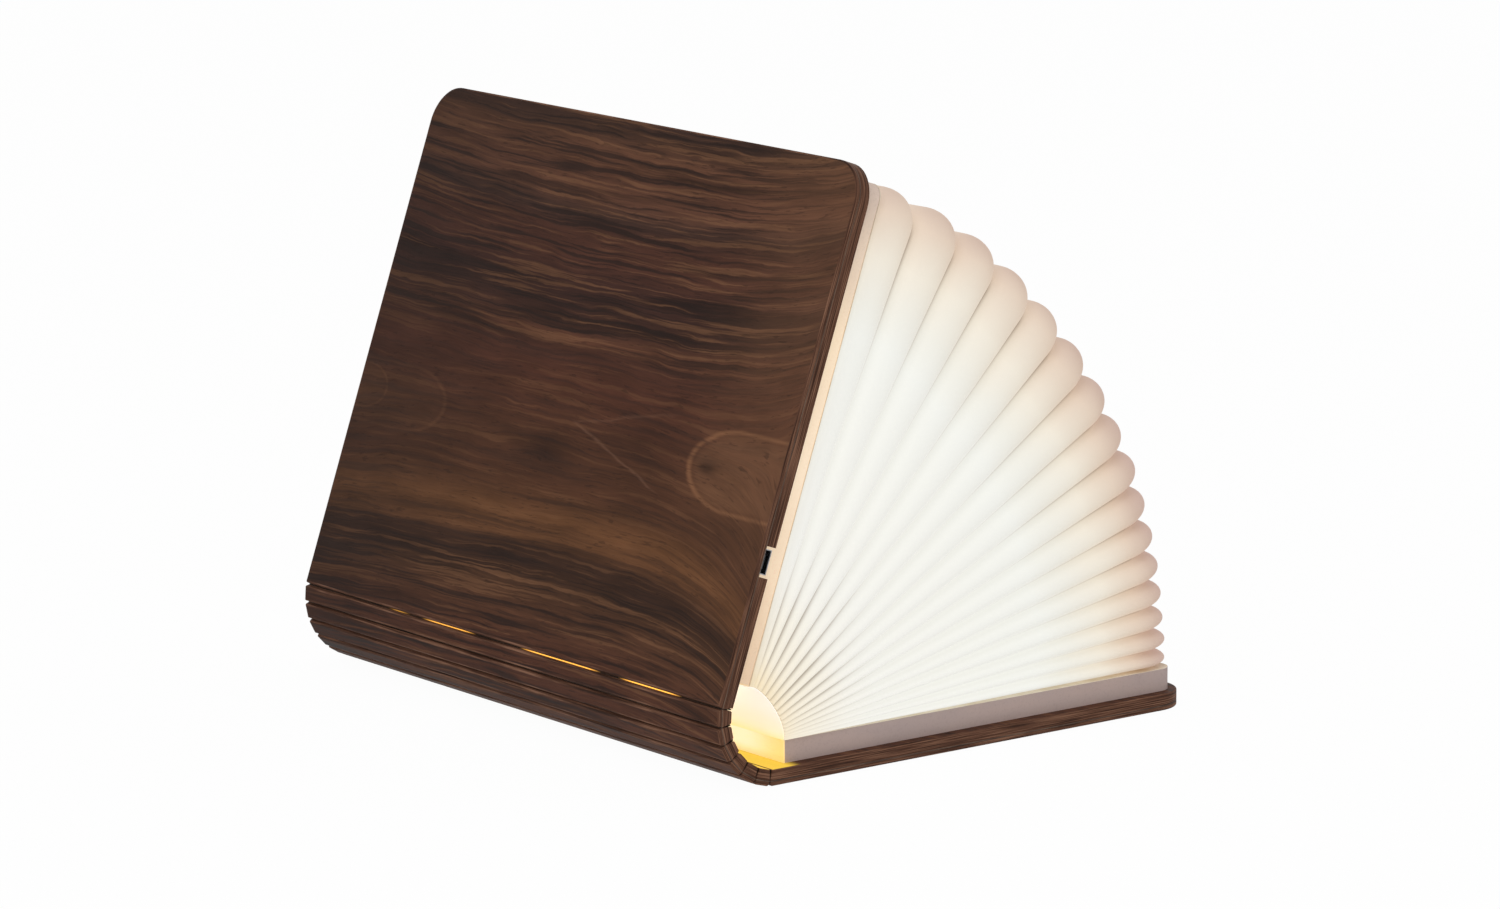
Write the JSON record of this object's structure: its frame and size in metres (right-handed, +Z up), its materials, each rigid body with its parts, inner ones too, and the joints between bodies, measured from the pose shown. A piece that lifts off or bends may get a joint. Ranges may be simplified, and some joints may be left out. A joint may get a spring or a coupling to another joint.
{
  "type": "folding book lamp",
  "caption": "Book-shaped wooden lamp standing partly open, with two covers on a spine of folding slats and a fan of lit paper leaves between them.",
  "frame": {"origin": "middle of the flat underside of the lower cover", "axes": "+Z up from the underside of the lower cover, +Y along the spine from the head end, where the charging socket is, to the tail end, and +X from the spine to the fore-edge"},
  "size_m": [0.1809, 0.215, 0.1788],
  "materials": {
    "cover_wood": "satin",
    "inner_board": "satin",
    "hinge_cloth": "matte",
    "box_board": "matte",
    "leaf_paper": "matte",
    "magnet": "satin",
    "led_board": "satin",
    "led_chip": "gloss",
    "frosted_channel": "matte",
    "white_lead": "satin",
    "red_lead": "satin",
    "circuit_board": "satin",
    "black_parts": "satin",
    "socket_metal": "satin",
    "battery_pouch": "satin",
    "foam_pad": "matte"
  },
  "bodies": {
    "lower_cover": {"lower_cover_outer": "cover_wood", "lower_cover_cloth": "hinge_cloth", "lower_cover_inner": "inner_board", "lower_box_frame": "box_board", "lower_box_lid": "box_board", "lower_endpaper": "leaf_paper", "lower_magnets": "magnet"},
    "slat_1": {"slat_1_outer": "cover_wood", "slat_1_cloth": "hinge_cloth", "slat_1_inner": "inner_board"},
    "slat_2": {"slat_2_outer": "cover_wood", "slat_2_cloth": "hinge_cloth", "slat_2_inner": "inner_board"},
    "slat_3": {"slat_3_outer": "cover_wood", "slat_3_cloth": "hinge_cloth", "slat_3_inner": "inner_board"},
    "slat_4": {"slat_4_outer": "cover_wood", "slat_4_cloth": "hinge_cloth", "slat_4_inner": "inner_board"},
    "slat_5": {"slat_5_outer": "cover_wood", "slat_5_cloth": "hinge_cloth", "slat_5_inner": "inner_board"},
    "slat_6": {"slat_6_outer": "cover_wood", "slat_6_cloth": "hinge_cloth", "slat_6_inner": "inner_board"},
    "upper_cover": {"upper_cover_outer": "cover_wood", "upper_cover_cloth": "hinge_cloth", "upper_cover_inner": "inner_board", "upper_box_frame": "box_board", "upper_box_lid": "box_board", "upper_magnets": "magnet", "led_board": "led_board", "led_chips": "led_chip", "led_channel": "frosted_channel", "led_lead": "white_lead", "charge_board": "circuit_board", "board_parts": "black_parts", "charge_socket": "socket_metal", "socket_tongue": "black_parts", "battery": "battery_pouch", "battery_pad": "foam_pad", "battery_lead": "red_lead"},
    "page_01": {"leaf_01": "leaf_paper"},
    "page_02": {"leaf_02": "leaf_paper"},
    "page_03": {"leaf_03": "leaf_paper"},
    "page_04": {"leaf_04": "leaf_paper"},
    "page_05": {"leaf_05": "leaf_paper"},
    "page_06": {"leaf_06": "leaf_paper"},
    "page_07": {"leaf_07": "leaf_paper"},
    "page_08": {"leaf_08": "leaf_paper"},
    "page_09": {"leaf_09": "leaf_paper"},
    "page_10": {"leaf_10": "leaf_paper"},
    "page_11": {"leaf_11": "leaf_paper"},
    "page_12": {"leaf_12": "leaf_paper"},
    "page_13": {"leaf_13": "leaf_paper"},
    "page_14": {"leaf_14": "leaf_paper"},
    "page_15": {"leaf_15": "leaf_paper"},
    "page_16": {"leaf_16": "leaf_paper", "upper_endpaper": "leaf_paper"},
    "gutter": {"gutter_paper": "leaf_paper"}
  },
  "joints": [
    {"name": "opening", "type": "hinge", "parent": "lower_cover", "child": "gutter", "pos_m": [-0.0857, 0, 0.0015], "axis": [0, -1, 0], "range_deg": [-35.25, 144.75], "deforming": ["gutter_paper"]},
    {"name": "opening_upper", "type": "hinge", "parent": "gutter", "child": "upper_cover", "pos_m": [-0.09961, 0, 0.02118], "axis": [0, -1, 0], "range_deg": [-35.26, 144.76]},
    {"name": "fold_1", "type": "hinge", "parent": "lower_cover", "child": "slat_1", "pos_m": [-0.081, 0, 0.0015], "axis": [0, -1, 0], "range_deg": [-10.08, 41.37]},
    {"name": "fold_2", "type": "hinge", "parent": "slat_1", "child": "slat_2", "pos_m": [-0.0863, 0, 0.00298], "axis": [0, -1, 0], "range_deg": [-10.08, 41.37]},
    {"name": "fold_3", "type": "hinge", "parent": "slat_2", "child": "slat_3", "pos_m": [-0.091, 0, 0.00584], "axis": [0, -1, 0], "range_deg": [-10.08, 41.37]},
    {"name": "fold_7", "type": "hinge", "parent": "upper_cover", "child": "slat_6", "pos_m": [-0.09804, 0, 0.02561], "axis": [0, 1, 0], "range_deg": [-10.08, 41.37]},
    {"name": "fold_6", "type": "hinge", "parent": "slat_6", "child": "slat_5", "pos_m": [-0.09841, 0, 0.02012], "axis": [0, 1, 0], "range_deg": [-10.08, 41.37]},
    {"name": "fold_5", "type": "hinge", "parent": "slat_5", "child": "slat_4", "pos_m": [-0.09729, 0, 0.01474], "axis": [0, 1, 0], "range_deg": [-10.08, 41.37]},
    {"name": "leaf_turn_01", "type": "hinge", "parent": "lower_cover", "child": "page_01", "pos_m": [-0.07877, 0, 0.0015], "axis": [0, -1, 0], "range_deg": [-1.94, 7.93], "deforming": ["leaf_01"]},
    {"name": "leaf_turn_02", "type": "hinge", "parent": "page_01", "child": "page_02", "pos_m": [-0.07991, 0, 0.00156], "axis": [0, -1, 0], "range_deg": [-2.27, 9.28], "deforming": ["leaf_02"]},
    {"name": "leaf_turn_03", "type": "hinge", "parent": "page_02", "child": "page_03", "pos_m": [-0.08122, 0, 0.00171], "axis": [0, -1, 0], "range_deg": [-2.6, 10.64], "deforming": ["leaf_03"]},
    {"name": "leaf_turn_04", "type": "hinge", "parent": "page_03", "child": "page_04", "pos_m": [-0.08269, 0, 0.00198], "axis": [0, -1, 0], "range_deg": [-2.93, 12], "deforming": ["leaf_04"]},
    {"name": "leaf_turn_05", "type": "hinge", "parent": "page_04", "child": "page_05", "pos_m": [-0.08431, 0, 0.00242], "axis": [0, -1, 0], "range_deg": [-3.26, 13.35], "deforming": ["leaf_05"]},
    {"name": "leaf_turn_06", "type": "hinge", "parent": "page_05", "child": "page_06", "pos_m": [-0.08605, 0, 0.00305], "axis": [0, -1, 0], "range_deg": [-3.59, 14.71], "deforming": ["leaf_06"]},
    {"name": "leaf_turn_07", "type": "hinge", "parent": "page_06", "child": "page_07", "pos_m": [-0.08788, 0, 0.00394], "axis": [0, -1, 0], "range_deg": [-3.92, 16.07], "deforming": ["leaf_07"]},
    {"name": "leaf_turn_08", "type": "hinge", "parent": "page_07", "child": "page_08", "pos_m": [-0.08977, 0, 0.0051], "axis": [0, -1, 0], "range_deg": [-4.25, 17.43], "deforming": ["leaf_08"]},
    {"name": "leaf_turn_09", "type": "hinge", "parent": "page_08", "child": "page_09", "pos_m": [-0.09165, 0, 0.00659], "axis": [0, -1, 0], "range_deg": [-4.58, 18.78], "deforming": ["leaf_09"]},
    {"name": "leaf_turn_10", "type": "hinge", "parent": "page_09", "child": "page_10", "pos_m": [-0.09345, 0, 0.00842], "axis": [0, -1, 0], "range_deg": [-4.91, 20.14], "deforming": ["leaf_10"]},
    {"name": "leaf_turn_11", "type": "hinge", "parent": "page_10", "child": "page_11", "pos_m": [-0.09511, 0, 0.01062], "axis": [0, -1, 0], "range_deg": [-5.24, 21.5], "deforming": ["leaf_11"]},
    {"name": "leaf_turn_12", "type": "hinge", "parent": "page_11", "child": "page_12", "pos_m": [-0.09652, 0, 0.01319], "axis": [0, -1, 0], "range_deg": [-5.57, 22.85], "deforming": ["leaf_12"]},
    {"name": "leaf_turn_13", "type": "hinge", "parent": "page_12", "child": "page_13", "pos_m": [-0.0976, 0, 0.01611], "axis": [0, -1, 0], "range_deg": [-5.9, 24.21], "deforming": ["leaf_13"]},
    {"name": "leaf_turn_14", "type": "hinge", "parent": "page_13", "child": "page_14", "pos_m": [-0.09823, 0, 0.01934], "axis": [0, -1, 0], "range_deg": [-6.23, 25.57], "deforming": ["leaf_14"]},
    {"name": "leaf_turn_15", "type": "hinge", "parent": "page_14", "child": "page_15", "pos_m": [-0.09831, 0, 0.02281], "axis": [0, -1, 0], "range_deg": [-6.56, 26.92], "deforming": ["leaf_15"]},
    {"name": "leaf_turn_16", "type": "hinge", "parent": "page_15", "child": "page_16", "pos_m": [-0.09775, 0, 0.02642], "axis": [0, -1, 0], "range_deg": [-6.89, 28.28], "deforming": ["leaf_16"]}
  ],
  "couplings": [
    {"joint": "opening_upper", "follows": "opening", "ratio": 1},
    {"joint": "fold_1", "follows": "opening", "ratio": 0.28571},
    {"joint": "fold_2", "follows": "opening", "ratio": 0.28571},
    {"joint": "fold_3", "follows": "opening", "ratio": 0.28571},
    {"joint": "fold_7", "follows": "opening", "ratio": 0.28571},
    {"joint": "fold_6", "follows": "opening", "ratio": 0.28571},
    {"joint": "fold_5", "follows": "opening", "ratio": 0.28571},
    {"joint": "leaf_turn_01", "follows": "opening", "ratio": 0.054688},
    {"joint": "leaf_turn_02", "follows": "opening", "ratio": 0.064062},
    {"joint": "leaf_turn_03", "follows": "opening", "ratio": 0.073438},
    {"joint": "leaf_turn_04", "follows": "opening", "ratio": 0.082812},
    {"joint": "leaf_turn_05", "follows": "opening", "ratio": 0.092188},
    {"joint": "leaf_turn_06", "follows": "opening", "ratio": 0.10156},
    {"joint": "leaf_turn_07", "follows": "opening", "ratio": 0.11094},
    {"joint": "leaf_turn_08", "follows": "opening", "ratio": 0.12031},
    {"joint": "leaf_turn_09", "follows": "opening", "ratio": 0.12969},
    {"joint": "leaf_turn_10", "follows": "opening", "ratio": 0.13906},
    {"joint": "leaf_turn_11", "follows": "opening", "ratio": 0.14844},
    {"joint": "leaf_turn_12", "follows": "opening", "ratio": 0.15781},
    {"joint": "leaf_turn_13", "follows": "opening", "ratio": 0.16719},
    {"joint": "leaf_turn_14", "follows": "opening", "ratio": 0.17656},
    {"joint": "leaf_turn_15", "follows": "opening", "ratio": 0.18594},
    {"joint": "leaf_turn_16", "follows": "opening", "ratio": 0.19531}
  ]
}
